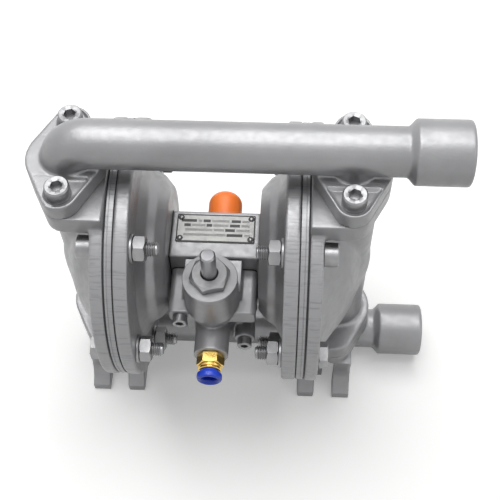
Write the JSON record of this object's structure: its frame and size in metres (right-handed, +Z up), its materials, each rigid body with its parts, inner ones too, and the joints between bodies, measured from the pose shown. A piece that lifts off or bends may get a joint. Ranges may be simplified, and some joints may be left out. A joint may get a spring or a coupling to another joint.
{
  "type": "air operated diaphragm pump",
  "caption": "Small double diaphragm pump in silver painted aluminium, with a threaded suction manifold below, a discharge manifold above and an air valve on its centre block.",
  "frame": {"origin": "on the floor under the middle of the whole pump's length; the middle of its depth is within 1.3 mm", "axes": "+X along the shaft towards the threaded ports, -Y towards the air valve, +Z up"},
  "size_m": [0.229, 0.1544, 0.233],
  "materials": {
    "cast": "satin silver paint on cast aluminium",
    "valve_paint": "satin silver paint on machined aluminium",
    "zinc": "zinc plated and slightly dull",
    "steel": "ground",
    "plate": "brushed sheet with a dark border",
    "alloy": "turned",
    "rubber": "matt",
    "ball": "smooth PTFE",
    "bush": "turned bronze",
    "brass": "bright machined",
    "blue": "moulded",
    "orange": "moulded soft plastic"
  },
  "bodies": {
    "pump": {"discharge_manifold": "cast", "suction_manifold": "cast", "right_fluid_cover": "cast", "left_fluid_cover": "cast", "right_air_chamber": "cast", "left_air_chamber": "cast", "centre_block": "cast", "valve_body": "valve_paint", "valve_cap": "valve_paint", "chamber_cap_screws": "zinc", "chamber_hex_bolts": "zinc", "chamber_washers": "zinc", "chamber_nuts": "zinc", "discharge_screws": "zinc", "suction_screws": "zinc", "chamber_screws": "zinc", "valve_screws": "zinc", "gland_nut": "zinc", "valve_bottom_plug": "zinc", "nameplate_rivets": "zinc", "fitting_claw": "zinc", "nameplate": "plate", "valve_sleeve": "alloy", "right_diaphragm": "rubber", "left_diaphragm": "rubber", "manifold_rings": "rubber", "shaft_seals": "rubber", "sleeve_rings": "rubber", "chamber_gaskets": "rubber", "valve_gasket": "rubber", "rod_seal": "rubber", "fitting_seal": "rubber", "discharge_ball_seats": "ball", "suction_ball_seats": "ball", "shaft_bushes": "bush", "fitting_body": "brass", "exhaust_plug": "orange"},
    "shaft_assembly": {"diaphragm_shaft": "steel", "right_inner_plate": "alloy", "left_inner_plate": "alloy", "right_outer_plate": "alloy", "left_outer_plate": "alloy", "plate_nuts": "zinc"},
    "discharge_ball_left": {"discharge_ball_left": "ball"},
    "discharge_ball_right": {"discharge_ball_right": "ball"},
    "suction_ball_left": {"suction_ball_left": "ball"},
    "suction_ball_right": {"suction_ball_right": "ball"},
    "reset_rod": {"reset_rod": "steel"},
    "valve_spool": {"valve_spool": "alloy"},
    "fitting_collar": {"fitting_collar": "blue"}
  },
  "joints": [
    {"name": "shaft_slide", "type": "slide", "parent": "pump", "child": "shaft_assembly", "axis": [1, 0, 0], "range_m": [-0.005, 0.005], "deforming": ["left_diaphragm", "right_diaphragm"]},
    {"name": "discharge_ball_left_lift", "type": "slide", "parent": "pump", "child": "discharge_ball_left", "axis": [0, 0, 1], "range_m": [0, 0.004]},
    {"name": "discharge_ball_right_lift", "type": "slide", "parent": "pump", "child": "discharge_ball_right", "axis": [0, 0, 1], "range_m": [0, 0.004]},
    {"name": "suction_ball_left_lift", "type": "slide", "parent": "pump", "child": "suction_ball_left", "axis": [0, 0, 1], "range_m": [0, 0.004]},
    {"name": "suction_ball_right_lift", "type": "slide", "parent": "pump", "child": "suction_ball_right", "axis": [0, 0, 1], "range_m": [0, 0.004]},
    {"name": "reset_rod_slide", "type": "slide", "parent": "pump", "child": "reset_rod", "axis": [0, 0, -1], "range_m": [0, 0.006]},
    {"name": "spool_slide", "type": "slide", "parent": "pump", "child": "valve_spool", "axis": [0, 0, -1], "range_m": [0, 0.006]},
    {"name": "fitting_collar_slide", "type": "slide", "parent": "pump", "child": "fitting_collar", "axis": [0, 1, 0], "range_m": [0, 0.0012], "stiffness_N_per_m": 500}
  ],
  "couplings": [
    {"joint": "spool_slide", "follows": "reset_rod_slide", "ratio": 1}
  ]
}
